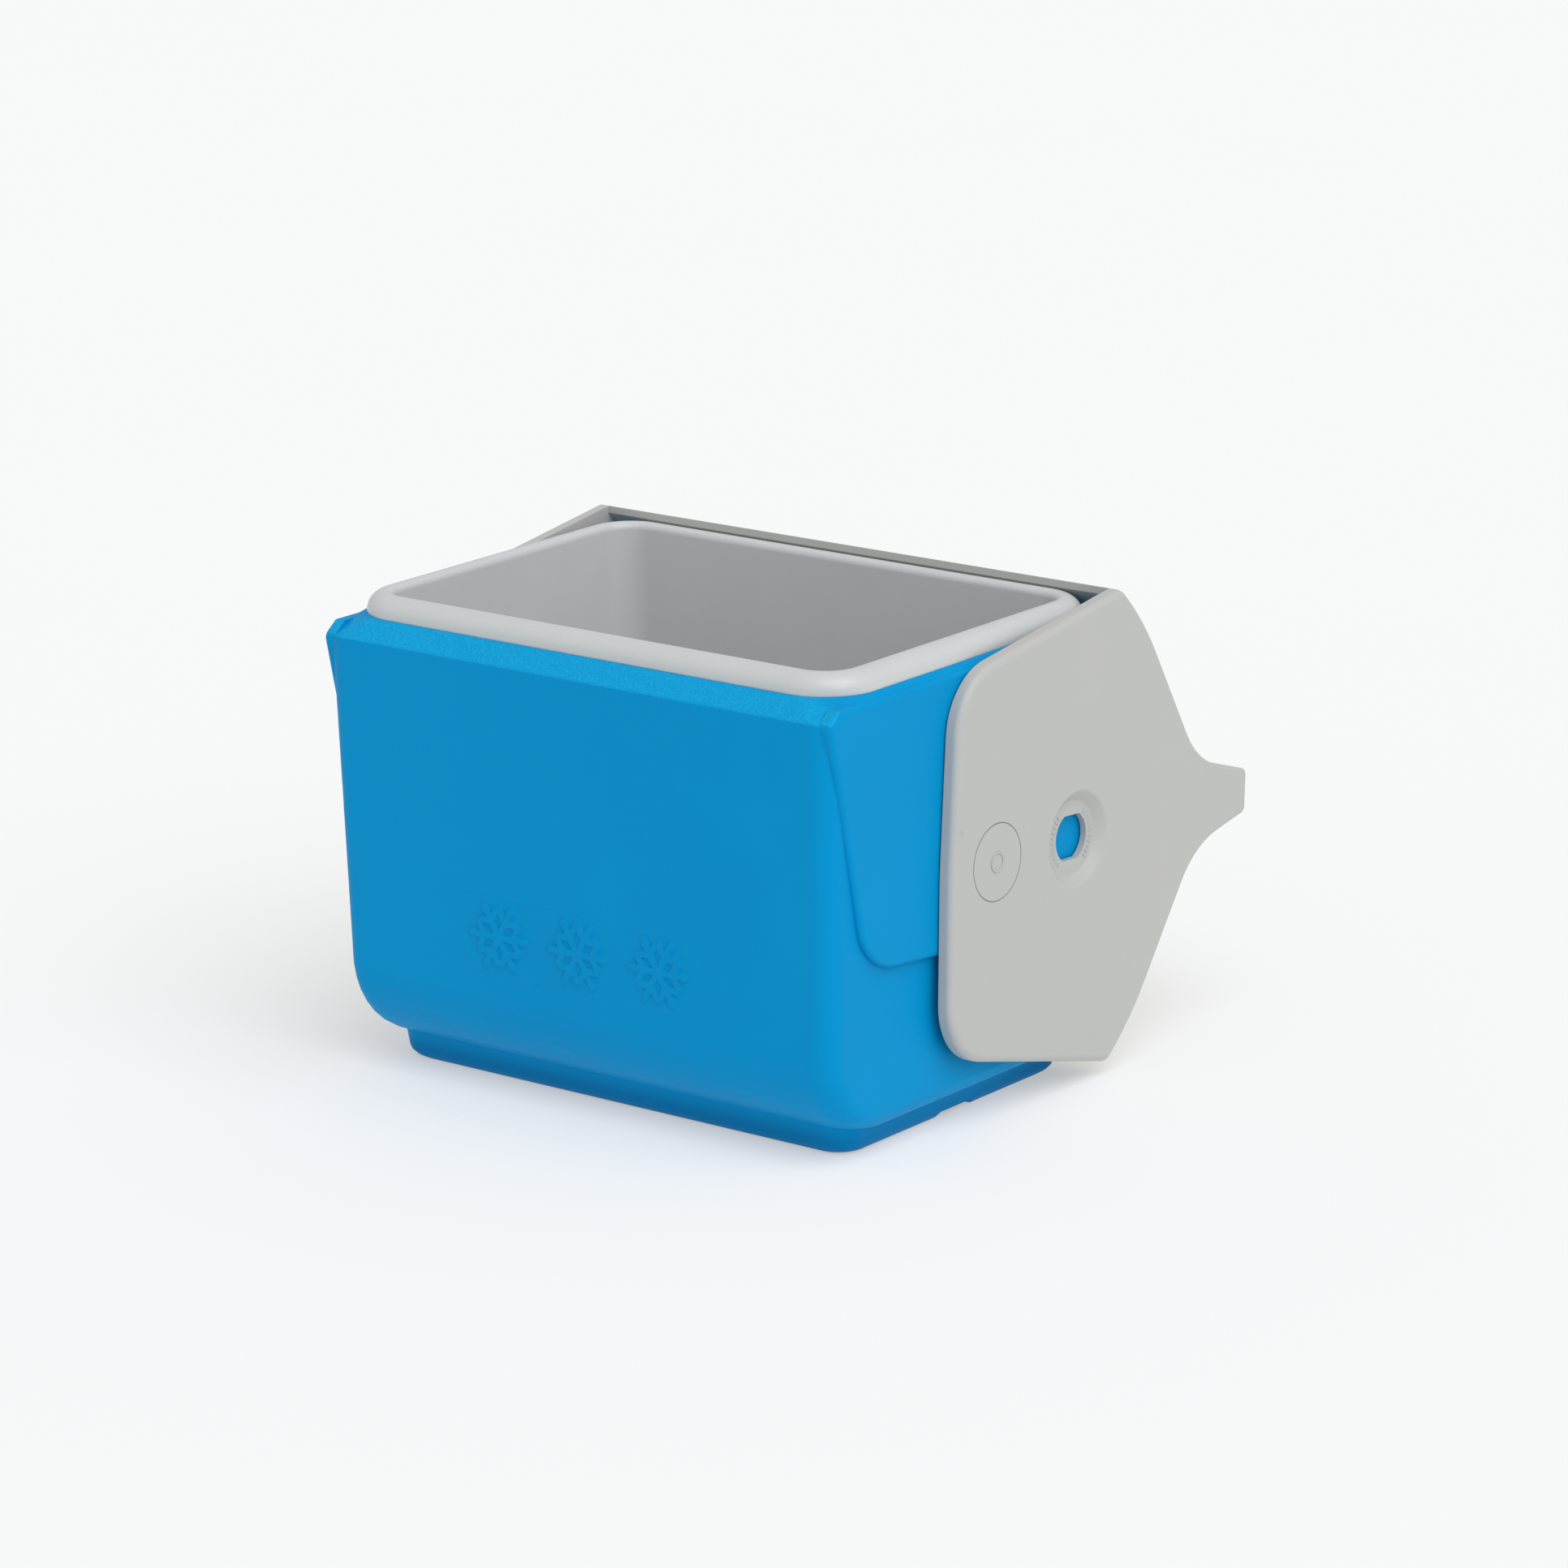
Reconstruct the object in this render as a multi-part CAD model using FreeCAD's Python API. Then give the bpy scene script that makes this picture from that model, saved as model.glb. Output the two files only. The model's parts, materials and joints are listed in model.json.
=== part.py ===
"""Swing-top cooler chest, shown with its lid swung open to the back.

Millimetres. X runs along the long side, -Y is the front, +Z is up. The origin is the middle of the
plinth's underside. The lid turns on an axis along X, and its pieces are drawn closed about that
axis and then swung back until the eave meets the plinth.
"""
import FreeCAD, Part
import math
import os

V = FreeCAD.Vector

# Outer shell
plinth_length = 228.4
plinth_width = 144.2
plinth_height = 9.5
plinth_flare = 1.6
stop_height_share = 0.75
plinth_corner = 11.0
plinth_foot_round = 5.0
plinth_foot_steps = 4
body_length = 246.6
body_width = 185.8
wall_flare_end = 3.4
wall_flare_front = 4.4
body_corner = 9.0
foot_corner = 14.0
belly_round = 33.0
belly_steps = 9
end_round = 10.0
shoulder_height = 180.0
seat_height = 187.5
end_shoulder_drop = 2.3
end_shoulder_inset = 0.3
shell_wall = 2.5
notch_width = 27.0
notch_height = 3.2
notch_depth = 12.0

# Raised land under each end panel of the lid
land_height = 1.0
land_margin = 5.9
land_corner = 25.0
land_corner_inset = 1.0
land_bow = 6.5
land_shy = 0.8
land_top_round = 4.0
land_edge = 2.2

# Inner liner and its rim
rim_length = 248.8
rim_width = 174.8
rim_height = 8.2
rim_band = 10.6
rim_corner = 22.8
rim_round = 7.4
rim_inner_round = 2.8
liner_wall = 2.2
liner_floor_height = 22.5
liner_draft = 7.5
liner_floor_round = 9.0

# Lid
pivot_height = 106.6
lid_sweep_gap = 0.7
lid_skin = 2.4
lid_side_gap = 0.6
panel_thickness = 6.4
panel_edge_round = 3.0
roof_edge_round = 1.2
panel_drop = 29.2
panel_corner_drop = 27.2
panel_corner_inset = 17.3
panel_corner_round = 28.0
panel_bow_round = 300.0
eave_height = 79.2
roof_bend_angle = 33.0
handle_height = 24.0
handle_width = 17.8
handle_taper = 0.243
handle_round = 3.2
least_round = 0.6
handle_root_round = 40.0
eave_stop_gap = 0.4
lid_liner_wall = 1.8

# Pivots
pivot_radius = 6.8
pivot_clearance = 0.05
pivot_bore_length = 7.0
ring_thickness = 1.2
ring_clearance = 0.3
ring_reach = 1.9
ring_groove_depth = 1.1
groove_gap = 0.05
ring_slot = 5.0
pivot_end = 2.0
socket_wall = 1.8
socket_flange = 2.6
socket_flange_thickness = 1.6
cap_radius = 15.6
cap_thickness = 2.6
cap_mark_radius = 4.2
cap_mark_band = 0.9
cap_mark_height = 0.35

# Lock button
button_offset = 54.2
button_radius = 9.8
button_flat = 8.6
button_hole_gap = 0.5
button_guide_gap = 0.25
button_tip_gap = 0.3
button_tip_round = 0.8
lock_travel = 3.8
press_travel = 2.5
skirt_reach = 2.0
skirt_thickness = 1.2
skirt_gap = 0.3
guide_thickness = 1.4
housing_wall = 1.2
housing_flange = 2.2
housing_floor = 1.0
spring_wire = 0.6
spring_turns = 3
spring_radius = 6.0
spring_end_gap = 0.05
recess_floor_radius = 15.2
recess_mouth_radius = 19.6
recess_depth = 3.5
recess_mouth_round = 2.0

# Fill plugs for the injected foam
plug_radius = 11.0
plug_flange = 2.2
plug_flange_thickness = 1.2
plug_length = 7.0
plug_offset = 60.0
lid_plug_radius = 8.0
lid_plug_length = 4.0

insert_gap = 0.1

# Joined and cutting shapes run past each other by lap, and edges are found to within pick
lap = 1.0
pick = 0.01

# Sizes that follow from those above
rim_top = seat_height + rim_height
land_face = body_length / 2 + wall_flare_end + land_height
panel_inner = land_face + lid_side_gap
panel_outer = panel_inner + panel_thickness
button_height = pivot_height + button_offset
button_tip = panel_inner - button_tip_gap
skirt_front = land_face - guide_thickness - lock_travel
housing_depth = guide_thickness + lock_travel + skirt_thickness + press_travel
housing_depth = housing_depth + spring_turns * spring_wire + spring_wire
housing_bore = button_radius + skirt_reach + skirt_gap
housing_outer = housing_bore + housing_wall
socket_bore = pivot_radius + pivot_clearance
ring_chamber = pivot_radius + ring_reach + ring_clearance
socket_outer = ring_chamber + socket_wall
chamber_length = ring_thickness + 2 * ring_clearance + pivot_end
socket_depth = pivot_bore_length + chamber_length + socket_wall


def half_length(height):
    """Half the length of the body at a height between plinth and shoulder."""
    share = (height - plinth_height) / (shoulder_height - plinth_height)
    return body_length / 2 + wall_flare_end * share


def half_width(height):
    """Half the width of the body at a height between plinth and shoulder."""
    share = (height - plinth_height) / (shoulder_height - plinth_height)
    return body_width / 2 + wall_flare_front * share


# The lid clears the widest of rim, shoulder and belly as it swings round them
rim_reach = math.hypot(rim_width / 2 - rim_round, rim_top - rim_round - pivot_height) + rim_round
shoulder_reach = math.hypot(half_width(shoulder_height), shoulder_height - pivot_height)
belly_centre_height = plinth_height + belly_round
belly_reach = math.hypot(half_width(belly_centre_height) - belly_round, pivot_height - belly_centre_height)
belly_reach = belly_reach + belly_round
vault_radius = max(rim_reach, shoulder_reach, belly_reach) + lid_sweep_gap
roof_radius = vault_radius + lid_skin
eave_half = math.sqrt(roof_radius ** 2 - eave_height ** 2)
ridge_height = roof_radius / math.cos(math.radians(roof_bend_angle)) + handle_height
panel_corner_half = body_width / 2 - panel_corner_inset

# The lands follow the lower edge of the closed lid's end panels
land_bottom = pivot_height - panel_drop - land_margin
land_corner_half = panel_corner_half - land_corner_inset


def open_angle():
    """Angle from closed to the stop, where the eave's end face meets the side of the plinth."""
    stop = plinth_width / 2 + plinth_flare * stop_height_share + eave_stop_gap
    reach = math.hypot(eave_height, eave_half)
    sag = math.acos(stop / reach) - math.atan2(eave_half, eave_height)
    return 90 + math.degrees(sag)


# Drawing helpers

def rounded_wire(corners, place):
    """Closed wire through corners (a, b, radius), each rounded by a tangent arc of its radius."""
    count = len(corners)
    runs = []
    for index in range(count):
        before = corners[index - 1]
        here = corners[index]
        after = corners[(index + 1) % count]
        centre = V(here[0], here[1], 0)
        back = (V(before[0], before[1], 0) - centre).normalize()
        ahead = (V(after[0], after[1], 0) - centre).normalize()
        turn = math.pi - back.getAngle(ahead)
        cut = here[2] * math.tan(turn / 2)
        middle = centre
        if here[2] > 0:
            inward = (back + ahead).normalize()
            middle = centre + inward * (here[2] / math.cos(turn / 2) - here[2])
        runs.append((centre + back * cut, middle, centre + ahead * cut, here[2] > 0))
    edges = []
    for index in range(count):
        start, middle, end, is_arc = runs[index]
        if is_arc:
            edges.append(Part.Arc(place(start), place(middle), place(end)).toShape())
        next_start = runs[(index + 1) % count][0]
        if (next_start - end).Length > 1e-4:
            edges.append(Part.makeLine(place(end), place(next_start)))
    return Part.Wire(edges)


def plan_wire(half_x, half_y, radius, height):
    """Rounded rectangle in plan at a height."""
    corners = [(half_x, -half_y, radius), (half_x, half_y, radius)]
    corners = corners + [(-half_x, half_y, radius), (-half_x, -half_y, radius)]
    return rounded_wire(corners, lambda point: V(point.x, point.y, height))


def tapered_block(sections):
    """Solid through rounded rectangles, each (half_x, half_y, radius, height)."""
    wires = [plan_wire(*section) for section in sections]
    return Part.makeLoft(wires, True, True)


def end_prism(corners, start, end):
    """Outline in (across, up) carried along X from start to end."""
    wire = rounded_wire(corners, lambda point: V(start, point.x, point.y))
    return Part.Face(wire).extrude(V(end - start, 0, 0))


def rod_x(radius, start, end, height=0.0):
    """Round bar along X, centred on Y = 0."""
    low = min(start, end)
    return Part.makeCylinder(radius, abs(end - start), V(low, 0, height), V(1, 0, 0))


def double_d(radius, flat, start, end, height=0.0):
    """Round bar along X with two flat sides facing front and back."""
    low = min(start, end)
    length = abs(end - start)
    slab = Part.makeBox(length, 2 * flat, 4 * radius, V(low, -flat, height - 2 * radius))
    return rod_x(radius, start, end, height).common(slab)


def mirrored_left(shape):
    """The same piece for the left end."""
    return shape.mirror(V(0, 0, 0), V(1, 0, 0))


def save(name, shape):
    """Write one sub-part."""
    shape.exportStep("parts/" + name + ".step")


# Outer shell

def end_shoulder_height():
    """Height up to which the ends of the body stand almost upright."""
    return seat_height - end_shoulder_drop


def shoulder_share(height):
    """How far up the sloped shoulder a height lies, from 0 to 1."""
    return (height - shoulder_height) / (seat_height - shoulder_height)


def shoulder_width(height):
    """Half the width of the body at a height on the sloped shoulder."""
    low = half_width(shoulder_height)
    return low + (rim_width / 2 - low) * shoulder_share(height)


def body_sections(inset):
    """Sections of the body from its underside to the seat of the rim, moved in by inset."""
    sections = []
    for step in range(belly_steps + 1):
        angle = math.radians(90.0 * step / belly_steps)
        height = belly_centre_height - belly_round * math.cos(angle)
        belly = belly_round * (1 - math.sin(angle))
        end_angle_height = plinth_height + end_round - height
        tuck = 0.0
        if end_angle_height > 0:
            tuck = end_round - math.sqrt(max(end_round ** 2 - end_angle_height ** 2, 0))
        corner = body_corner + (foot_corner - body_corner) * math.cos(angle)
        sections.append((half_length(height) - tuck - inset, half_width(height) - belly - inset,
                         corner, height + inset * math.cos(angle)))
    top = shoulder_height
    sections.append((half_length(top) - inset, half_width(top) - inset, body_corner, top))
    turn = end_shoulder_height()
    sections.append((half_length(top) - end_shoulder_inset - inset, shoulder_width(turn) - inset,
                     body_corner + (rim_corner - body_corner) * shoulder_share(turn), turn - inset / 2))
    sections.append((rim_length / 2 - inset, rim_width / 2 - inset, rim_corner, seat_height - inset))
    return sections


def plinth(inset):
    """Foot of the body, moved in by inset."""
    top = plinth_height + 2 * shell_wall
    sections = []
    for step in range(plinth_foot_steps + 1):
        angle = math.radians(90.0 * step / plinth_foot_steps)
        height = plinth_foot_round * (1 - math.cos(angle))
        tuck = plinth_foot_round * (1 - math.sin(angle)) + inset - plinth_flare * height / top
        sections.append((plinth_length / 2 - tuck, plinth_width / 2 - tuck, plinth_corner,
                         height + inset * math.cos(angle)))
    high = plinth_flare - inset
    sections.append((plinth_length / 2 + high, plinth_width / 2 + high, plinth_corner, top))
    return tapered_block(sections)


def notch_pair(grow):
    """Shallow bridge cut under both ends of the plinth."""
    top = notch_width / 2 - notch_height + grow
    foot = notch_width / 2 + grow
    height = notch_height + grow
    corners = [(-foot, 0, 0), (foot, 0, 0), (top, height, 0), (-top, height, 0)]
    inner = plinth_length / 2 - notch_depth - grow
    right = end_prism(corners, inner, plinth_length / 2 + 2 * plinth_flare)
    return right.fuse(mirrored_left(right))


def land():
    """Raised land on the right end, just smaller than the lid's end panel."""
    top = end_shoulder_height()
    corners = [(0, land_bottom, panel_bow_round), (land_corner_half, land_bottom + land_bow, land_corner)]
    corners = corners + [(half_width(shoulder_height) - land_shy, shoulder_height, land_top_round)]
    corners = corners + [(shoulder_width(top) - land_shy, top, 0)]
    corners = corners + [(-across, up, radius) for across, up, radius in reversed(corners[1:])]
    inner = half_length(shoulder_height) - 2 * shell_wall
    block = end_prism(corners, inner, land_face)
    rim = [edge for edge in block.Edges if edge.BoundBox.XMin > land_face - pick]
    return block.makeFillet(land_edge, rim)


def right_pivot_socket_space(gap):
    """Room that the right pivot socket takes in the wall and the foam."""
    flange = rod_x(socket_outer + socket_flange + gap, land_face - socket_flange_thickness - gap,
                   land_face + gap, pivot_height)
    cup = rod_x(socket_outer + gap, land_face - socket_depth - gap, land_face, pivot_height)
    return flange.fuse(cup)


def button_housing_space(gap):
    """Room that the button housing takes in the wall and the foam."""
    flange = rod_x(housing_outer + housing_flange + gap, land_face - guide_thickness - gap,
                   land_face + gap, button_height)
    cup = rod_x(housing_outer + gap, land_face - housing_depth - housing_floor - gap,
                land_face, button_height)
    return flange.fuse(cup)


def base_plug_space(gap):
    """Room that the fill plug takes in the base and the foam."""
    flange = Part.makeCylinder(plug_radius + plug_flange + gap, plug_flange_thickness + gap,
                               V(-plug_offset, 0, 0))
    barrel = Part.makeCylinder(plug_radius + gap, plug_length + gap, V(-plug_offset, 0, 0))
    return flange.fuse(barrel)


def inserts_space(gap):
    """Room for everything that is let into the shell."""
    socket = right_pivot_socket_space(gap)
    space = socket.fuse(mirrored_left(socket))
    return space.fuse(button_housing_space(gap)).fuse(base_plug_space(gap))


def shell_cavity():
    """Space inside the outer shell, which the foam fills."""
    space = tapered_block(body_sections(shell_wall)).fuse(plinth(shell_wall))
    return space.cut(notch_pair(shell_wall))


def outer_shell():
    """Blue tub: bellied walls, flared plinth, end lands and sloped shoulder."""
    right_land = land()
    solid = tapered_block(body_sections(0.0)).fuse(plinth(0.0)).fuse(right_land)
    solid = solid.fuse(mirrored_left(right_land))
    solid = solid.cut(notch_pair(0.0)).cut(shell_cavity())
    mouth = liner_tub(liner_wall + insert_gap)
    return solid.cut(mouth).cut(inserts_space(insert_gap)).removeSplitter()


# Inner liner

def liner_tub(grow):
    """Tapered space inside the liner, enlarged by grow for the outside of its wall."""
    top_x = rim_length / 2 - rim_band + grow
    top_y = rim_width / 2 - rim_band + grow
    corner = rim_corner - rim_band + grow
    low = (top_x - liner_draft, top_y - liner_draft, corner, liner_floor_height - grow)
    high = (top_x, top_y, corner, rim_top + lap)
    block = tapered_block([low, high])
    floor_edges = [edge for edge in block.Edges if edge.BoundBox.ZMax < liner_floor_height + pick]
    return block.makeFillet(liner_floor_round + grow, floor_edges)


def inner_liner():
    """White tub with a rolled rim that sits on the shell's shoulder."""
    ring = Part.Face(plan_wire(rim_length / 2, rim_width / 2, rim_corner, seat_height))
    ring = ring.extrude(V(0, 0, rim_height))
    outer_edges = [edge for edge in ring.Edges if edge.BoundBox.ZMin > rim_top - pick]
    ring = ring.makeFillet(rim_round, outer_edges)
    below = liner_tub(liner_wall)
    corner = V(-rim_length, -rim_width, seat_height)
    above = Part.makeBox(2 * rim_length, 2 * rim_width, 2 * rim_height, corner)
    below = below.cut(above)
    solid = ring.fuse(below).cut(liner_tub(0.0))
    mouth = [edge for edge in solid.Edges if is_mouth_edge(edge.BoundBox)]
    return solid.makeFillet(rim_inner_round, mouth)


def is_mouth_edge(box):
    """True for the box round an edge of the liner's opening."""
    inside_x = box.XMax < rim_length / 2 - rim_round and box.XMin > rim_round - rim_length / 2
    inside_y = box.YMax < rim_width / 2 - rim_round and box.YMin > rim_round - rim_width / 2
    return inside_x and inside_y and box.ZMin > rim_top - pick


def foam_core():
    """Rigid foam between shell and liner."""
    block = shell_cavity().cut(liner_tub(liner_wall + insert_gap))
    return block.cut(inserts_space(insert_gap)).removeSplitter()


def base_fill_plug():
    """Plug in the hole through which the body's foam is injected."""
    return base_plug_space(0.0)


# Pivot sockets and button housing, let into the ends

def pivot_socket():
    """Cup in the right end with a bore for the pivot and a wider chamber for its ring."""
    body = right_pivot_socket_space(0.0)
    bore_end = land_face - pivot_bore_length
    bore = rod_x(socket_bore, bore_end - lap, land_face + lap, pivot_height)
    chamber = rod_x(ring_chamber, bore_end - chamber_length, bore_end, pivot_height)
    return body.cut(bore).cut(chamber)


def button_housing():
    """Cup in the right end in which the lock button slides."""
    bore = rod_x(housing_bore, land_face - housing_depth, land_face + lap, button_height)
    return button_housing_space(0.0).cut(bore)


def button_guide():
    """Ring pressed into the housing's mouth, with the hole that guides the button."""
    ring = rod_x(housing_bore - insert_gap / 2, land_face - guide_thickness, land_face, button_height)
    gap = button_guide_gap
    hole = double_d(button_radius + gap, button_flat + gap, skirt_front, land_face + lap, button_height)
    return ring.cut(hole)


def push_button():
    """Lock button held in by the lid's end panel, with the skirt that keeps it in its housing."""
    head = double_d(button_radius, button_flat, skirt_front, button_tip, button_height)
    tip_edges = [edge for edge in head.Edges if edge.BoundBox.XMin > button_tip - pick]
    head = head.makeFillet(button_tip_round, tip_edges)
    skirt = rod_x(button_radius + skirt_reach, skirt_front - skirt_thickness, skirt_front, button_height)
    return head.fuse(skirt)


def button_spring():
    """Light coil spring behind the button's skirt."""
    back = skirt_front - skirt_thickness
    floor = land_face - housing_depth
    length = back - floor - spring_wire - 2 * spring_end_gap
    helix = Part.makeHelix(length / spring_turns, length, spring_radius)
    start = V(spring_radius, 0, 0)
    profile = Part.Wire(Part.makeCircle(spring_wire / 2, start, V(0, 1, 0)))
    coil = Part.Wire(helix).makePipeShell([profile], True, True)
    coil.rotate(V(0, 0, 0), V(0, 1, 0), 90)
    coil.translate(V(floor + spring_wire / 2 + spring_end_gap, 0, button_height))
    return coil


# Lid, drawn closed about its pivot axis

def crossing(point, slope_vector, other, other_vector):
    """Where two lines meet, each given by a point and a direction."""
    gap = other - point
    scale = slope_vector.x * other_vector.y - slope_vector.y * other_vector.x
    along = (gap.x * other_vector.y - gap.y * other_vector.x) / scale
    return point + slope_vector * along


def roof_corners(radius, inset):
    """Right half of the roof line, from the eave to the top of the handle, moved in by inset."""
    bend = math.radians(roof_bend_angle)
    eave_across = math.sqrt(radius ** 2 - eave_height ** 2)
    eave_angle = math.atan2(eave_across, eave_height)
    middle = (eave_angle + bend) / 2
    far = radius / math.cos((eave_angle - bend) / 2)
    bend_point = V(radius * math.sin(bend), radius * math.cos(bend), 0)
    tip = V(handle_width / 2 - inset, ridge_height - inset, 0)
    root = crossing(bend_point, V(-math.cos(bend), math.sin(bend), 0), tip, V(handle_taper, -1, 0))
    return [
        (eave_across, eave_height, 0),
        (far * math.sin(middle), far * math.cos(middle), radius),
        (root.x, root.y, handle_root_round + inset),
        (tip.x, tip.y, max(handle_round - inset, least_round)),
    ]


def both_sides(corners):
    """Adds the mirror image of an outline's right half."""
    return corners + [(-across, up, radius) for across, up, radius in reversed(corners)]


def gable_outline():
    """Outline of the lid seen from its end."""
    side = [(panel_corner_half, -panel_corner_drop, panel_corner_round)]
    side = side + roof_corners(roof_radius, 0.0)
    return [(0, -panel_drop, panel_bow_round)] + both_sides(side)


def lid_interior(inset_end):
    """Everything between the end panels and under the roof skin."""
    clear = 2 * eave_half
    corners = [(clear, -2 * panel_drop, 0), (clear, eave_height, 0)]
    corners = corners + roof_corners(vault_radius, lid_skin)
    half = panel_inner - inset_end
    return end_prism(both_sides(corners), -half, half)


def lid_shell():
    """Roof, handle and both end panels in one moulding."""
    block = end_prism(gable_outline(), -panel_outer, panel_outer)
    rims = [edge for edge in block.Edges if abs(edge.CenterOfMass.x) > panel_outer - pick]
    free_rims = [edge for edge in rims if edge.CenterOfMass.z < eave_height]
    block = block.makeFillet(panel_edge_round, free_rims)
    roof_rims = [edge for edge in block.Edges if is_roof_rim(edge)]
    block = block.makeFillet(roof_edge_round, roof_rims)
    block = block.cut(lid_interior(0.0))
    stem = rod_x(pivot_radius + insert_gap, panel_inner - lap, panel_outer + lap)
    seat = rod_x(cap_radius + insert_gap, panel_outer - cap_thickness, panel_outer + lap)
    for cutter in (stem, seat):
        block = block.cut(cutter).cut(mirrored_left(cutter))
    recess = Part.makeCone(recess_floor_radius, recess_mouth_radius, recess_depth,
                           V(panel_outer - recess_depth, 0, button_offset), V(1, 0, 0))
    gap = button_hole_gap
    start = panel_inner - lap
    end = panel_outer + lap
    hole = double_d(button_radius + gap, button_flat + gap, start, end, button_offset)
    block = block.cut(recess).cut(hole)
    mouth = [edge for edge in block.Edges if is_recess_mouth(edge)]
    return block.makeFillet(recess_mouth_round, mouth)


def is_roof_rim(edge):
    """True for the edges where the roof and the handle meet the end panels' faces."""
    return abs(edge.CenterOfMass.x) > panel_outer - pick and edge.CenterOfMass.z > eave_height


def is_recess_mouth(edge):
    """True for the circle where the button's recess meets the end panel."""
    box = edge.BoundBox
    tall = abs(box.ZLength - 2 * recess_mouth_radius) < pick
    return tall and box.XMin > panel_outer - pick


def liner_edge_angle():
    """Angle from the ridge at which the lid liner runs out against the roof skin."""
    bend = math.radians(roof_bend_angle)
    return bend - math.acos(vault_radius / (vault_radius + lid_liner_wall))


def ridge_wedge():
    """Bar of triangular section that holds what lies between the lid liner's edges."""
    side = ridge_height * math.tan(liner_edge_angle())
    half = panel_inner - insert_gap
    return end_prism([(0, 0, 0), (side, ridge_height, 0), (-side, ridge_height, 0)], -half, half)


def lid_liner():
    """Curved sheet under the ridge that closes the lid's insulation."""
    outer = rod_x(vault_radius + lid_liner_wall, -panel_inner, panel_inner)
    inner = rod_x(vault_radius, -panel_inner, panel_inner)
    return ridge_wedge().common(outer).cut(inner).cut(lid_plug_space(insert_gap))


def lid_foam():
    """Foam between the lid liner and the roof."""
    under = rod_x(vault_radius + lid_liner_wall + insert_gap, -panel_inner, panel_inner)
    return lid_interior(insert_gap).common(ridge_wedge()).cut(under).cut(lid_plug_space(insert_gap))


def lid_plug_space(gap):
    """Room for the fill plug in the lid liner."""
    base = vault_radius - gap
    return Part.makeCylinder(lid_plug_radius + gap, lid_plug_length + 2 * gap, V(plug_offset, 0, base))


def lid_fill_plug():
    """Plug in the hole through which the lid's foam is injected."""
    inner = rod_x(vault_radius, -panel_inner, panel_inner)
    return lid_plug_space(0.0).cut(inner)


def pivot_cap():
    """Round cap let into the end panel, with the stem that turns in the socket."""
    disc = rod_x(cap_radius, panel_outer - cap_thickness, panel_outer)
    mark = rod_x(cap_mark_radius, panel_outer - lap, panel_outer + cap_mark_height)
    mark = mark.cut(rod_x(cap_mark_radius - cap_mark_band, panel_outer, panel_outer + lap))
    stem = rod_x(pivot_radius, ring_start() - pivot_end, panel_outer - lap)
    groove = rod_x(pivot_radius + lap, ring_start() - groove_gap, ring_start() + ring_thickness + groove_gap)
    groove = groove.cut(rod_x(pivot_radius - ring_groove_depth, ring_start() - lap, land_face))
    return disc.fuse(mark).fuse(stem).cut(groove)


def ring_start():
    """Inner face of the retaining ring, behind the shoulder in the socket."""
    return land_face - pivot_bore_length - ring_clearance - ring_thickness


def pivot_ring():
    """Spring ring in the stem's groove, behind the shoulder of the socket."""
    ring = rod_x(pivot_radius + ring_reach, ring_start(), ring_start() + ring_thickness)
    ring = ring.cut(rod_x(pivot_radius - ring_groove_depth + groove_gap, ring_start() - lap, land_face))
    slot = Part.makeBox(ring_thickness + 2 * lap, ring_slot, ring_chamber,
                        V(ring_start() - lap, -ring_slot / 2, -ring_chamber))
    return ring.cut(slot)


def swing_open(shape):
    """Carries a lid piece from closed about the origin to open at the pivot."""
    shape.rotate(V(0, 0, 0), V(1, 0, 0), -open_angle())
    shape.translate(V(0, 0, pivot_height))
    return shape


os.makedirs("parts", exist_ok=True)

save("outer_shell", outer_shell())
save("foam_core", foam_core())
save("inner_liner", inner_liner())
save("base_fill_plug", base_fill_plug())
save("pivot_socket_right", pivot_socket())
save("pivot_socket_left", mirrored_left(pivot_socket()))
save("button_housing", button_housing())
save("button_guide", button_guide())
save("push_button", push_button())
save("button_spring", button_spring())
save("lid_shell", swing_open(lid_shell()))
save("lid_liner", swing_open(lid_liner()))
save("lid_foam", swing_open(lid_foam()))
save("lid_fill_plug", swing_open(lid_fill_plug()))
save("pivot_cap_right", swing_open(pivot_cap()))
save("pivot_cap_left", swing_open(mirrored_left(pivot_cap())))
save("pivot_ring_right", swing_open(pivot_ring()))
save("pivot_ring_left", swing_open(mirrored_left(pivot_ring())))

print("open angle %.2f degrees, roof radius %.2f, eave half width %.2f"
      % (open_angle(), roof_radius, eave_half))
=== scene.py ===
import bpy
import json
import math
from mathutils import Matrix, Vector
from mathutils.bvhtree import BVHTree


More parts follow.
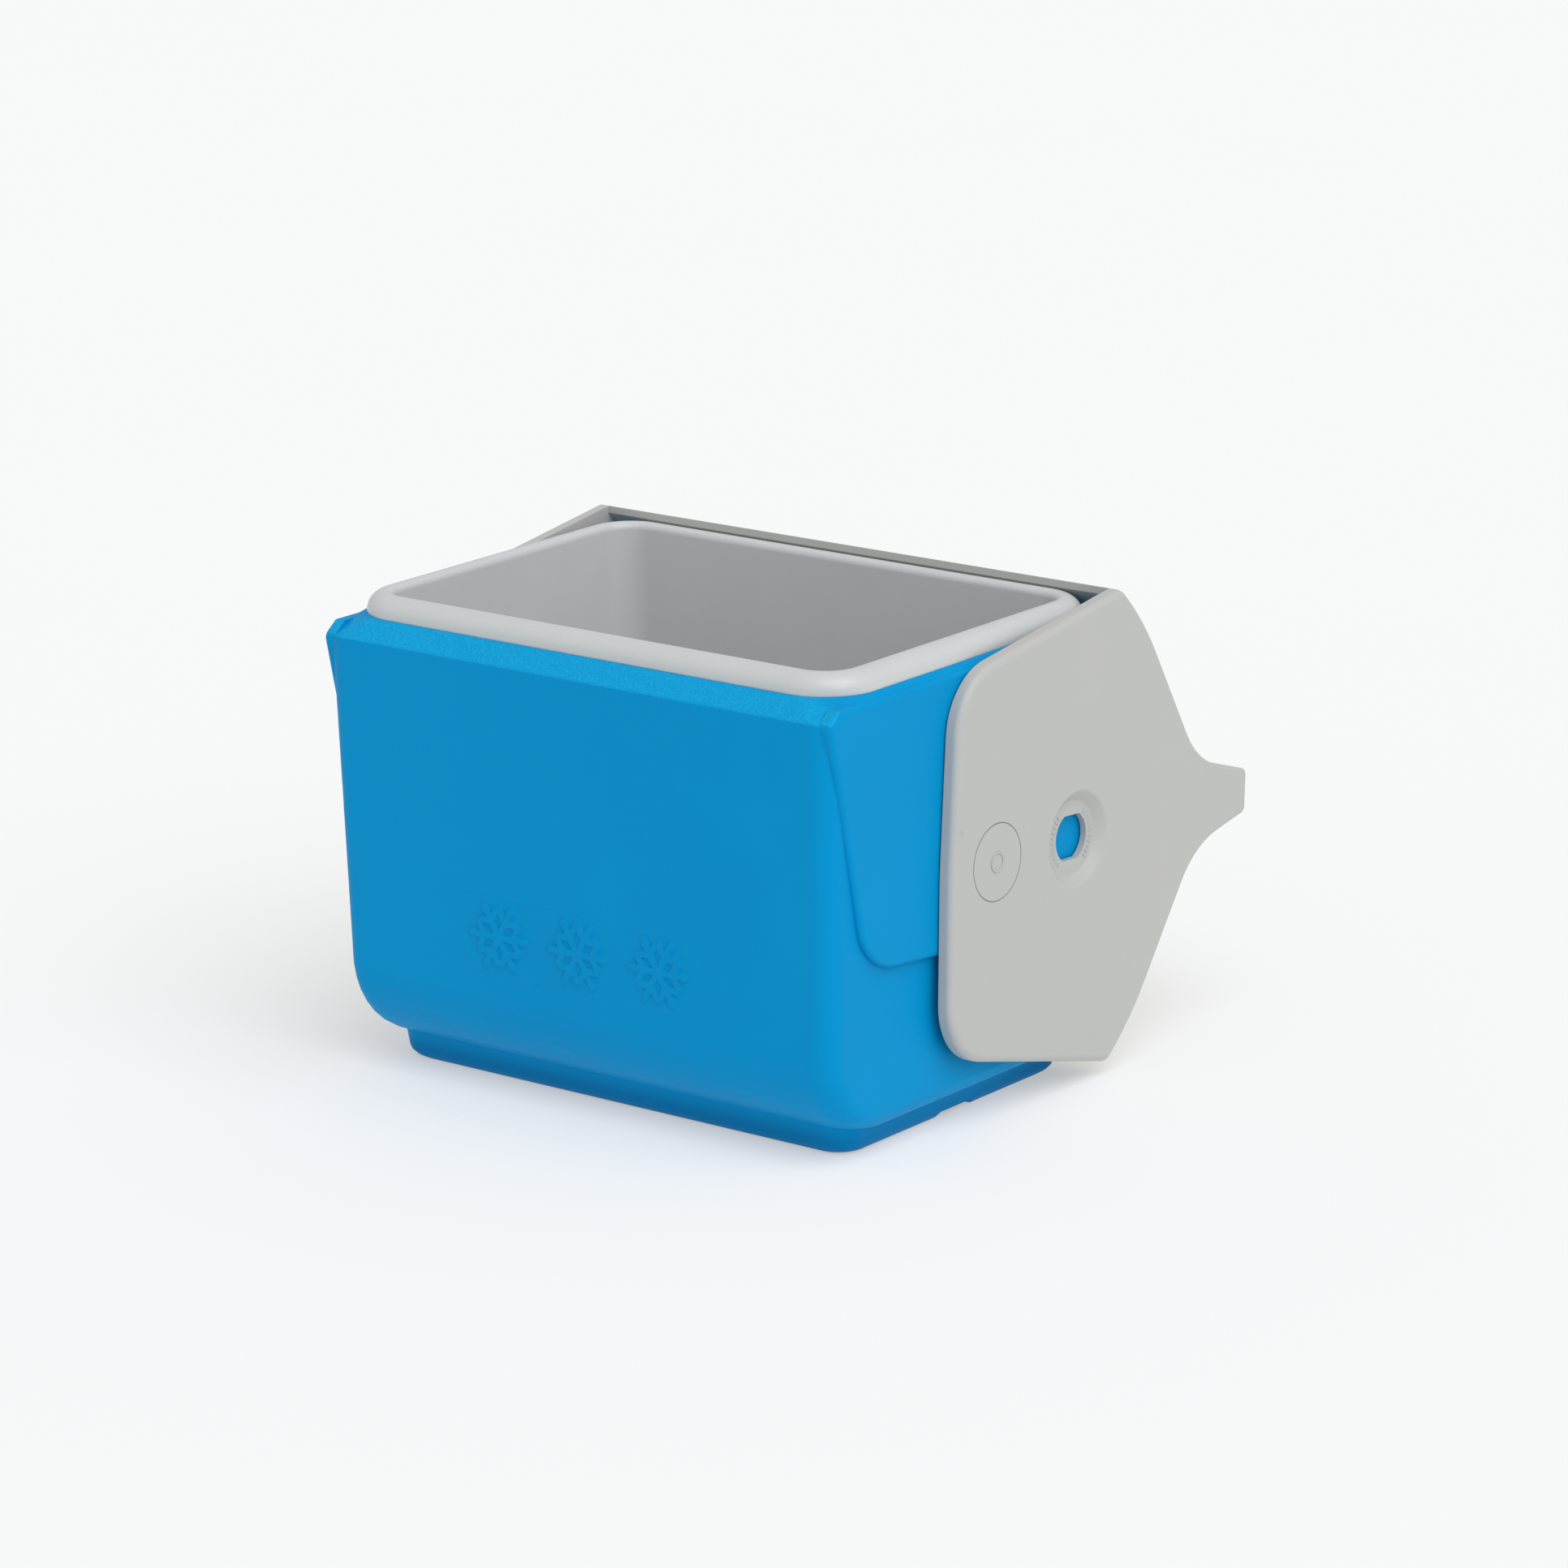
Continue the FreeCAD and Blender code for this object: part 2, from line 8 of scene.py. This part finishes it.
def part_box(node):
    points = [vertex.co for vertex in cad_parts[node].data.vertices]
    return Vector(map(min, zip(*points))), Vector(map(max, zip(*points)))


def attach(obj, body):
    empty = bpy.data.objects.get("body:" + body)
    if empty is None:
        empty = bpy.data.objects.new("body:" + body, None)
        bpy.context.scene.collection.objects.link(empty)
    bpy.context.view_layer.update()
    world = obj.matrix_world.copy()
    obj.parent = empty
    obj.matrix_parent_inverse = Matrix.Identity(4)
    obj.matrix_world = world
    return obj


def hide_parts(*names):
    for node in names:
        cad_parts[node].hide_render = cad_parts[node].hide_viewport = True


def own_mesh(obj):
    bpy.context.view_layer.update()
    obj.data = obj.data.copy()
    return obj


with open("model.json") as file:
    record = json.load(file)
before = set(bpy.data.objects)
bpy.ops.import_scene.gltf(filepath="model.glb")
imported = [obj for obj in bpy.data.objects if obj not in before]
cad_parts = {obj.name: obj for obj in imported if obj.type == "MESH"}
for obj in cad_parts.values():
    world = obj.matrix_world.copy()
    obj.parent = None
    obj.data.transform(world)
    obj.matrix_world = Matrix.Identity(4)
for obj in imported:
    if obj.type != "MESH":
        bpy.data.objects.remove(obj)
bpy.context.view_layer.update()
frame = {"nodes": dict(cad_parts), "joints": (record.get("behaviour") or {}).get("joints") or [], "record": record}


# Outer shell. A tub moulded in blue polyethylene, satin on its walls and grained like leather on the
# sloped shoulders at front and back. It holds everything else: the liner drops into it from above,
# and the sockets and the lock housing are pressed into its ends.

class Term:
    """One socket among a finish's nodes. Arithmetic on it adds the Math nodes."""

    def __init__(self, tree, socket):
        self.tree = tree
        self.socket = socket

    def node(self, kind, settings, sockets, output=0):
        """Adds a node: its settings first, then the values or links of its sockets."""
        made = self.tree.nodes.new(kind)
        for name, value in settings.items():
            setattr(made, name, value)
        fill_sockets(self.tree, made, sockets)
        return Term(self.tree, made.outputs[output])

    def math(self, operation, first, second):
        return self.node("ShaderNodeMath", {"operation": operation}, {0: first, 1: second})

    def __add__(self, other):
        return self.math("ADD", self, other)

    def __radd__(self, other):
        return self.math("ADD", other, self)

    def __sub__(self, other):
        return self.math("SUBTRACT", self, other)

    def __rsub__(self, other):
        return self.math("SUBTRACT", other, self)

    def __mul__(self, other):
        return self.math("MULTIPLY", self, other)

    def __rmul__(self, other):
        return self.math("MULTIPLY", other, self)

    def __abs__(self):
        return self.math("ABSOLUTE", self, 0.0)

    def step(self, low, high):
        """0 below low, 1 above high, and an even change of slope between."""
        return self.node("ShaderNodeMapRange", {"interpolation_type": "SMOOTHSTEP"},
                         {"Value": self, "From Min": low, "From Max": high})

    def axis(self, name):
        """One coordinate of a place or a direction."""
        return self.node("ShaderNodeSeparateXYZ", {}, {"Vector": self}, name)

    def stretched(self, scale):
        """This place with each axis scaled by its own amount."""
        return self.node("ShaderNodeMapping", {}, {"Vector": self, "Scale": scale})

    def noise(self, scale, detail=2.0):
        """Soft clouds from 0 to 1 about 1 / scale metres across."""
        return self.node("ShaderNodeTexNoise", {}, {"Vector": self, "Scale": scale, "Detail": detail})

    def cells(self, scale, feature="F1"):
        """Distance within cells about 1 / scale metres across."""
        return self.node("ShaderNodeTexVoronoi", {"feature": feature}, {"Vector": self, "Scale": scale},
                         "Distance")

    def between(self, low_colour, high_colour):
        """The colour this far on the way from one colour to another, each given or a term."""
        return self.node("ShaderNodeMix", {"data_type": "RGBA"},
                         {0: self, 6: low_colour, 7: high_colour}, 2)

    def relief(self, depth, edge_radius):
        """Normals of this height times depth in metres, with edges eased over edge_radius."""
        eased = self.node("ShaderNodeBevel", {"samples": 6}, {"Radius": edge_radius})
        return self.node("ShaderNodeBump", {}, {"Height": self, "Distance": depth, "Normal": eased})


def fill_sockets(tree, made, sockets):
    """Sets or links the sockets of a node."""
    for name, value in sockets.items():
        if isinstance(value, Term):
            tree.links.new(value.socket, made.inputs[name])
        else:
            made.inputs[name].default_value = value


def new_finish(name):
    """A new material, and the place on its piece as the first term of its nodes."""
    finish = bpy.data.materials.new(name)
    finish.use_nodes = True
    coordinates = finish.node_tree.nodes.new("ShaderNodeTexCoord")
    return finish, Term(finish.node_tree, coordinates.outputs["Object"])


def set_surface(finish, sockets):
    """Sets or links the sockets of a finish's surface shader."""
    fill_sockets(finish.node_tree, finish.node_tree.nodes["Principled BSDF"], sockets)


def facing(place):
    """The direction in which the surface of a piece faces."""
    return place.node("ShaderNodeTexCoord", {}, {}, "Normal")


def dress(names, finish):
    """Gives moulded or bent pieces their finish."""
    for name in names:
        frame["nodes"][name].data.materials.clear()
        frame["nodes"][name].data.materials.append(finish)


shell_deep = (0.0, 0.262, 0.575, 1)
shell_bright = (0.0, 0.298, 0.630, 1)
# Lighter blue for the shoulder band: partly the grain's own paler look, partly painted light for the light falling
# on these upward-sloping faces.
frosted_and_lit_blue = (0.010, 0.400, 0.735, 1)
# Painted shade: a darker blue for the shade under the body, where the walls come down to the floor.
foot_painted_shade = (0.0, 0.180, 0.430, 1)
shell_scuff = (0.16, 0.42, 0.68, 1)
foot_shade_fade = (0.0045, 0.0130)
shoulder_low = 0.1799
shoulder_high = 0.1872
shoulder_fade = 0.0006
shoulder_tilt = (0.25, 0.45)
scuff_fade = (0.004, 0.022)

shell_finish, place = new_finish("shell_blue")
mottle = place.noise(16.0, 3.0)
draw_marks = place.stretched((70.0, 70.0, 5.0)).noise(1.0, 3.0)
height = place.axis("Z")
shoulder = height.step(shoulder_low - shoulder_fade, shoulder_low + 2 * shoulder_fade)
shoulder = shoulder * (1.0 - height.step(shoulder_high, shoulder_high + shoulder_fade))
shoulder = shoulder * abs(facing(place).axis("Y")).step(*shoulder_tilt)
grain = place.cells(1000.0) + place.noise(1700.0, 3.0) * 0.7
satin = place.noise(1500.0, 2.0)
sink = place.noise(11.0, 1.0)
scratches = place.stretched((30.0, 900.0, 500.0)).noise(1.0, 4.0).step(0.68, 0.78)
worn = scratches * (1.0 - height.step(*scuff_fade)) * place.noise(60.0).step(0.5, 0.7)
tone = 0.5 + (mottle - 0.5) * 0.9 + (draw_marks - 0.5) * 0.15
walls = tone.between(shell_deep, shell_bright)
# Painted shade: the walls darken towards the bottom, standing for the shade under the body near the floor.
walls = (1.0 - height.step(*foot_shade_fade)).between(walls, foot_painted_shade)
# The shoulder band is painted lighter: its grain speckle is real, and the overall lift is painted light where
# light falls on the sloped tops.
grained_and_lit = (shoulder * (grain * 0.70 - 0.10)).between(walls, frosted_and_lit_blue)
set_surface(shell_finish, {
    "Base Color": (worn * 0.5).between(grained_and_lit, shell_scuff),
    "Roughness": 0.47 + (mottle - 0.5) * 0.12 + shoulder * 0.06 + worn * 0.15,
    "Specular IOR Level": 0.05,
    "Normal": (sink * 1.2 + satin * 0.012 + grain * shoulder * 0.25).relief(0.001, 0.0006),
})
dress(["outer_shell"], shell_finish)


# Frost stars. Three raised six-armed stars in a row low on the front wall, cut into the mould, so they
# are the shell's own blue plastic. They stand under a millimetre proud with eased edges.

star_rise = 0.0008
star_arm = 0.0012
star_slope = 0.0007
star_radius = 0.0138
star_pitch = 0.0405
star_height = 0.0685
star_barb_root = 0.52
star_barb_length = 0.40
star_mesh_step = 0.00035
star_patch = (0.0588, 0.0168)
patch_lift = 0.00003
patch_sunk = 0.0003
ray_start = -1.0


def gap_to_line(point, start, end):
    """Distance of a point from a short straight line, all in the plane."""
    line = end - start
    share = max(0.0, min(1.0, (point - start).dot(line) / line.dot(line)))
    return (point - start - line * share).length


def gap_to_star(across, up, radius):
    """Distance of a point from the middle lines of a six-armed star, with a pair of barbs on each arm."""
    sixth = math.radians(60)
    angle = (math.atan2(up, across) + sixth / 2) % sixth - sixth / 2
    reach = math.hypot(across, up)
    point = Vector((reach * math.cos(angle), abs(reach * math.sin(angle))))
    gap = gap_to_line(point, Vector((0, 0)), Vector((radius, 0)))
    root = Vector((star_barb_root * radius, 0))
    tip = root + Vector((math.cos(sixth), math.sin(sixth))) * star_barb_length * radius
    return min(gap, gap_to_line(point, root, tip))


def eased(share):
    """Smooth change from 0 to 1."""
    share = max(0.0, min(1.0, share))
    return share * share * (3 - 2 * share)


def star_row_rise(across, up):
    """Height of the row of stars above the wall at a point."""
    gap = min(gap_to_star(across - number * star_pitch, up - star_height, star_radius)
              for number in (-1, 0, 1))
    return star_rise * eased(1 - (gap - star_arm) / star_slope)


def mesh_piece(name, points, faces, finish, slot_name, body):
    """Makes a smooth mesh piece, gives it its finish and lets it move with a body."""
    mesh = bpy.data.meshes.new(name)
    mesh.from_pydata(points, [], faces)
    mesh.shade_smooth()
    mesh.materials.append(finish)
    piece = bpy.data.objects.new(name, mesh)
    bpy.context.scene.collection.objects.link(piece)
    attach(piece, body)
    return piece


def grid_faces(columns, rows):
    """Faces of a grid of points written row by row."""
    return [(row * columns + column, row * columns + column + 1,
             (row + 1) * columns + column + 1, (row + 1) * columns + column)
            for row in range(rows - 1) for column in range(columns - 1)]


def frost_stars():
    """A skin on the front wall that swells into the stars and sinks into the wall at its edges."""
    wall = BVHTree.FromObject(frame["nodes"]["outer_shell"], bpy.context.evaluated_depsgraph_get())
    half_across, half_up = star_patch
    columns = round(2 * half_across / star_mesh_step) + 1
    rows = round(2 * half_up / star_mesh_step) + 1
    points = []
    for row in range(rows):
        up = star_height - half_up + row * star_mesh_step
        for column in range(columns):
            across = -half_across + column * star_mesh_step
            hit, normal, _, _ = wall.ray_cast(Vector((across, ray_start, up)), Vector((0, 1, 0)))
            edge = min(column, row, columns - 1 - column, rows - 1 - row)
            lift = star_row_rise(across, up) + (patch_lift if edge else -patch_sunk)
            points.append(hit - Vector((0, lift, 0)))
    return mesh_piece("frost_stars", points, grid_faces(columns, rows), shell_finish, "shell_plastic", "body")


frost_stars()


# Lock button, its guide ring and the fill plug in the base. Small mouldings in the shell's blue, a
# little glossier because they come from polished steel moulds.

button_finish, place = new_finish("button_blue")
mottle = place.noise(90.0, 3.0)
orange_peel = place.noise(900.0, 2.0)
handling = place.stretched((200.0, 60.0, 900.0)).noise(1.0, 4.0).step(0.6, 0.8)
set_surface(button_finish, {
    "Base Color": (mottle + handling * 0.3).between(shell_deep, shell_bright),
    "Roughness": 0.34 + mottle * 0.08 + handling * 0.12,
    "Specular IOR Level": 0.35,
    "Normal": (orange_peel * 0.03 + handling * 0.02).relief(0.001, 0.0004),
})
dress(["push_button", "button_guide", "base_fill_plug"], button_finish)


# Inner liner. A white polypropylene tub with a thick rolled rim, glossy where fingers and cans rub it
# and slightly milky, as that plastic is. It is pushed down until the rim sits on the shoulder.

liner_cool = (0.530, 0.560, 0.566, 1)
liner_warm = (0.588, 0.602, 0.597, 1)
liner_scuff = (0.45, 0.46, 0.45, 1)
liner_floor = 0.0225
rim_seat = 0.1875

liner_finish, place = new_finish("liner_white")
mottle = place.noise(22.0, 3.0)
orange_peel = place.noise(420.0, 2.0)
height = place.axis("Z")
can_rubs = place.stretched((40.0, 40.0, 520.0)).noise(1.0, 4.0).step(0.64, 0.76)
can_rubs = can_rubs * (1.0 - height.step(rim_seat - 0.03, rim_seat)) * place.noise(30.0).step(0.42, 0.65)
floor_rubs = place.stretched((400.0, 60.0, 60.0)).noise(1.0, 4.0).step(0.62, 0.75)
floor_rubs = floor_rubs * (1.0 - height.step(liner_floor + 0.0005, liner_floor + 0.004))
rubs = can_rubs * 0.35 + floor_rubs * 0.5
white = (mottle + (orange_peel - 0.5) * 0.3).between(liner_cool, liner_warm)
set_surface(liner_finish, {
    "Base Color": rubs.between(white, liner_scuff),
    "Roughness": 0.30 + (mottle - 0.5) * 0.1 + rubs * 0.3,
    "Specular IOR Level": 0.45,
    "Subsurface Weight": 0.22,
    "Subsurface Radius": (1.0, 1.0, 1.0),
    "Subsurface Scale": 0.003,
    "Normal": (place.noise(14.0, 1.0) * 1.1 + orange_peel * 0.02 + rubs * 0.015).relief(0.001, 0.0007),
})
dress(["inner_liner"], liner_finish)


# Foam in the body and in the lid. Cream rigid polyurethane, poured as a liquid through the plugged
# holes, where it rises, fills the space and sets with a fine closed cell.

foam_pale = (0.84, 0.77, 0.56, 1)
foam_dark = (0.70, 0.60, 0.38, 1)

foam_finish, place = new_finish("cream_foam")
bubbles = place.cells(1100.0)
large_bubbles = place.cells(260.0)
rise = place.stretched((50.0, 50.0, 12.0)).noise(1.0, 3.0)
set_surface(foam_finish, {
    "Base Color": (rise * 0.5 + bubbles * 0.7 + large_bubbles * 0.3).between(foam_dark, foam_pale),
    "Roughness": 0.88 + rise * 0.08,
    "Specular IOR Level": 0.2,
    "Normal": (bubbles * 0.35 + large_bubbles * 0.3).relief(0.001, 0.0003),
})
dress(["foam_core", "lid_foam"], foam_finish)


# Pivot sockets and lock housing. Slippery off-white acetal cups, pressed into the ends of the shell
# before the foam is poured, in which the lid's stems turn and the button slides.

acetal_pale = (0.74, 0.74, 0.70, 1)
acetal_worn = (0.52, 0.52, 0.50, 1)

acetal_finish, place = new_finish("white_acetal")
mottle = place.noise(70.0, 3.0)
turned = place.stretched((2200.0, 40.0, 40.0)).noise(1.0, 2.0)
set_surface(acetal_finish, {
    "Base Color": (mottle * 0.6 + turned * 0.4).between(acetal_pale, acetal_worn),
    "Roughness": 0.3 + turned * 0.12,
    "Normal": (turned * 0.03).relief(0.001, 0.0003),
})
dress(["pivot_socket_right", "pivot_socket_left", "button_housing"], acetal_finish)


# Spring and retaining rings. Drawn spring wire for the button's coil and stamped spring steel for
# the rings that snap into the stems' grooves, both bright with fine lines along the draw. The coil
# stands in the housing behind the button.

steel_dark = (0.36, 0.36, 0.37, 1)
steel_bright = (0.66, 0.66, 0.68, 1)

steel_finish, place = new_finish("spring_steel")
draw_lines = place.stretched((1800.0, 260.0, 260.0)).noise(1.0, 3.0)
oil_film = place.noise(120.0, 2.0)
set_surface(steel_finish, {
    "Base Color": (draw_lines * 0.7 + oil_film * 0.3).between(steel_dark, steel_bright),
    "Metallic": 1.0,
    "Roughness": 0.22 + draw_lines * 0.2,
    "Normal": (draw_lines * 0.02).relief(0.001, 0.0002),
})
dress(["button_spring", "pivot_ring_right", "pivot_ring_left"], steel_finish)

wire_radius = 0.0003
coil_radius = 0.0060
coil_turns = 3
coil_steps = 40
wire_sides = 12
coil_rest = 0.0048
coil_gap = 0.00005


def button_coil():
    """The button's coil at its rest length in the housing behind the button, in place of the spring part."""
    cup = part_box("button_housing")
    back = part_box("push_button")[0][0] - coil_gap
    middle_height = (cup[0][2] + cup[1][2]) / 2
    run = coil_rest - 2 * wire_radius
    points = []
    rings = coil_turns * coil_steps + 1
    for ring in range(rings):
        turn = 2 * math.pi * ring / coil_steps
        across = Vector((0, math.cos(turn), math.sin(turn)))
        centre = across * coil_radius
        centre.x = back - wire_radius - run * (1 - ring / (rings - 1))
        centre.z = centre.z + middle_height
        for side in range(wire_sides):
            angle = 2 * math.pi * side / wire_sides
            points.append(centre + across * wire_radius * math.cos(angle)
                          + Vector((1, 0, 0)) * wire_radius * math.sin(angle))
    faces = [(ring * wire_sides + side, ring * wire_sides + (side + 1) % wire_sides,
              (ring + 1) * wire_sides + (side + 1) % wire_sides, (ring + 1) * wire_sides + side)
             for ring in range(rings - 1) for side in range(wire_sides)]
    last = (rings - 1) * wire_sides
    faces = faces + [tuple(reversed(range(wire_sides))), tuple(range(last, last + wire_sides))]
    coil = mesh_piece("button_coil", points, faces, steel_finish, "spring_steel", "body")
    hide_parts("button_spring")
    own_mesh(coil)


button_coil()


# Lid. The roof, the two end panels and the ridge that serves as a handle are one moulding in pale
# grey polypropylene, satin outside. The lid liner, its plug and the pivot caps are the same plastic.

lid_cool = (0.458, 0.468, 0.460, 1)
lid_warm = (0.496, 0.496, 0.480, 1)
lid_scuff = (0.58, 0.58, 0.57, 1)
seam_shade = (0.20, 0.20, 0.19, 1)
seam_fade = (0.00012, 0.00038)
seam_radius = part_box("pivot_cap_right")[1][1]
seam_middle = (0.0, 0.0, (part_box("pivot_cap_right")[0][2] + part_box("pivot_cap_right")[1][2]) / 2)

lid_finish, place = new_finish("lid_grey")
mottle = place.noise(19.0, 3.0)
flow = place.stretched((22.0, 60.0, 9.0)).noise(1.0, 3.0)
orange_peel = place.noise(700.0, 2.0)
sink = place.noise(13.0, 1.0)
scratches = place.stretched((60.0, 620.0, 90.0)).noise(1.0, 5.0).step(0.70, 0.80)
scratches = scratches * place.noise(35.0).step(0.5, 0.72)
grey = (mottle * 0.6 + flow * 0.4).between(lid_cool, lid_warm)
from_pivot = place.node("ShaderNodeVectorMath", {"operation": "DISTANCE"},
                        {0: place.stretched((0.0, 1.0, 1.0)), 1: seam_middle}, "Value")
# Painted shade: a dark, broken ring in the seam round the pivot cap, where the gap between cap and panel lies in
# shade.
seam = 1.0 - abs(from_pivot - seam_radius).step(*seam_fade)
seam = seam * (0.35 + place.noise(55.0) * 0.8)
set_surface(lid_finish, {
    "Base Color": seam.between((scratches * 0.4).between(grey, lid_scuff), seam_shade),
    "Roughness": 0.42 + (mottle - 0.5) * 0.12 + scratches * 0.12,
    "Specular IOR Level": 0.35,
    "Subsurface Weight": 0.10,
    "Subsurface Radius": (1.0, 1.0, 1.0),
    "Subsurface Scale": 0.0015,
    "Normal": (sink * 0.9 + orange_peel * 0.016 + scratches * 0.01).relief(0.001, 0.0006),
})
dress(["lid_shell", "lid_liner", "lid_fill_plug", "pivot_cap_right", "pivot_cap_left"], lid_finish)


# Marks round the lock hole and by the pivot. A ring of small raised ticks on the floor of the dished
# recess, cut into the mould, and the small ringed dimple that the moulding gate leaves near the edge.

tick_ring = 0.0126
tick_length = 0.0024
tick_width = 0.00055
tick_rise = 0.00045
tick_count = 11
tick_pitch = math.radians(9.5)
recess_depth = 0.0035
gate_place = Vector((0.0, -0.0232, 0.0170))
gate_radius = 0.0010
gate_rise = 0.00030
oval_steps = 20
dome_profile = [(1.0, -0.3), (1.0, 0.25), (0.88, 0.7), (0.6, 0.94), (0.0, 1.0)]
dimple_profile = [(1.0, -0.3), (1.0, 0.4), (0.86, 0.9), (0.7, 1.0), (0.54, 0.5), (0.4, 0.12), (0.0, 0.1)]


def pillow(middle, along, across, outward, half_length, half_width, rise, profile):
    """Points and faces of a low lump with an oval outline and a given profile, on a flat face."""
    steps = oval_steps
    rings = profile[:-1]
    points = []
    for size, level in rings:
        for step in range(steps):
            angle = 2 * math.pi * step / steps
            point = middle + along * half_length * size * math.cos(angle)
            points.append(point + across * half_width * size * math.sin(angle) + outward * rise * level)
    points.append(middle + outward * rise * profile[-1][1])
    faces = [(ring * steps + step, ring * steps + (step + 1) % steps,
              (ring + 1) * steps + (step + 1) % steps, (ring + 1) * steps + step)
             for ring in range(len(rings) - 1) for step in range(steps)]
    top = (len(rings) - 1) * steps
    faces = faces + [(top + step, top + (step + 1) % steps, len(points) - 1) for step in range(steps)]
    return points, faces


def joined(parts):
    """Points and faces of several lumps as one mesh."""
    points = []
    faces = []
    for more_points, more_faces in parts:
        faces = faces + [tuple(corner + len(points) for corner in face) for face in more_faces]
        points = points + more_points
    return points, faces


openings = {opening["name"]: opening["box_m"] for opening in frame["record"]["physics"]["openings"]}
hole_low, hole_high = openings["button_hole_in_lid"]
panel_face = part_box("lid_shell")[1][0]
hole_middle = (Vector(hole_low) + Vector(hole_high)) / 2
hole_middle.x = panel_face - recess_depth
pivot = Vector(next(joint["pos_m"] for joint in frame["joints"] if joint["name"] == "lid_swing"))
outward = Vector((1, 0, 0))

ticks = []
for side in (-1, 1):
    for number in range(tick_count):
        angle = (number - (tick_count - 1) / 2) * tick_pitch
        spoke = Vector((0, side * math.cos(angle), math.sin(angle)))
        ticks.append(pillow(hole_middle + spoke * tick_ring, spoke, outward.cross(spoke), outward,
                            tick_length / 2, tick_width / 2, tick_rise, dome_profile))
mesh_piece("recess_ticks", *joined(ticks), lid_finish, "lid_plastic", "lid")

gate_middle = pivot + gate_place
gate_middle.x = panel_face
gate = pillow(gate_middle, Vector((0, 1, 0)), Vector((0, 0, 1)), outward, gate_radius, gate_radius,
              gate_rise, dimple_profile)
mesh_piece("gate_scar", *gate, lid_finish, "lid_plastic", "lid")


# Studio. A pale seamless floor, an even sky and one broad soft lamp from the right. The floor's paint
# is a little cool and its glow a little warm, which offsets the blue that the shell throws on it.

floor_size = 60.0
floor_pale = (0.503, 0.528, 0.560, 1)
floor_shade = (0.499, 0.524, 0.556, 1)
floor_warmth = (1.04, 1.0, 0.92, 1)
floor_glow = 0.405
sky_strength = 0.58
lamp_strength = 1.75
lamp_from = Vector((0.88, -0.33, 1.25))
lamp_softness = math.radians(60)

floor_finish, place = new_finish("pale_floor")
set_surface(floor_finish, {
    "Base Color": place.noise(3.0, 2.0).between(floor_shade, floor_pale),
    "Roughness": 0.9,
    "Specular IOR Level": 0.0,
    "Emission Color": floor_warmth,
    "Emission Strength": floor_glow,
})
half = floor_size / 2
floor_mesh = bpy.data.meshes.new("floor")
floor_corners = [(-half, -half, 0), (half, -half, 0), (half, half, 0), (-half, half, 0)]
floor_mesh.from_pydata(floor_corners, [], [(0, 1, 2, 3)])
floor_mesh.materials.append(floor_finish)
floor = bpy.data.objects.new("floor", floor_mesh)
bpy.context.scene.collection.objects.link(floor)

sky = bpy.data.worlds.new("studio")
sky.use_nodes = True
sky.node_tree.nodes["Background"].inputs["Color"].default_value = (1.0, 1.0, 1.0, 1)
sky.node_tree.nodes["Background"].inputs["Strength"].default_value = sky_strength
bpy.context.scene.world = sky

lamp = bpy.data.objects.new("soft_lamp", bpy.data.lights.new("soft_lamp", "SUN"))
lamp.data.energy = lamp_strength
lamp.data.angle = lamp_softness
lamp.rotation_euler = lamp_from.to_track_quat("Z", "Y").to_euler()
bpy.context.scene.collection.objects.link(lamp)
bpy.context.scene.view_settings.view_transform = "Standard"


# Camera. Long lens, a little above the rim and well round to the button end.

camera_azimuth = math.radians(38.14)
camera_elevation = math.radians(15.32)
camera_roll = math.radians(-0.72)
camera_distance = 2.5995
camera_shift = (0.02328, 0.11228)
camera_lens = 147.0
camera_sensor = 36.0

back = Vector((math.sin(camera_azimuth) * math.cos(camera_elevation),
               -math.cos(camera_azimuth) * math.cos(camera_elevation), math.sin(camera_elevation)))
level = Vector((math.cos(camera_azimuth), math.sin(camera_azimuth), 0))
upright = back.cross(level)
right = level * math.cos(camera_roll) + upright * math.sin(camera_roll)
up = upright * math.cos(camera_roll) - level * math.sin(camera_roll)
stand = Matrix((right, up, back)).transposed().to_4x4()
stand.translation = back * camera_distance + level * camera_shift[0] + upright * camera_shift[1]
camera = bpy.data.objects.new("camera", bpy.data.cameras.new("camera"))
camera.matrix_world = stand
camera.data.sensor_width = camera_sensor
camera.data.lens = camera_lens
bpy.context.scene.collection.objects.link(camera)
bpy.context.scene.camera = camera
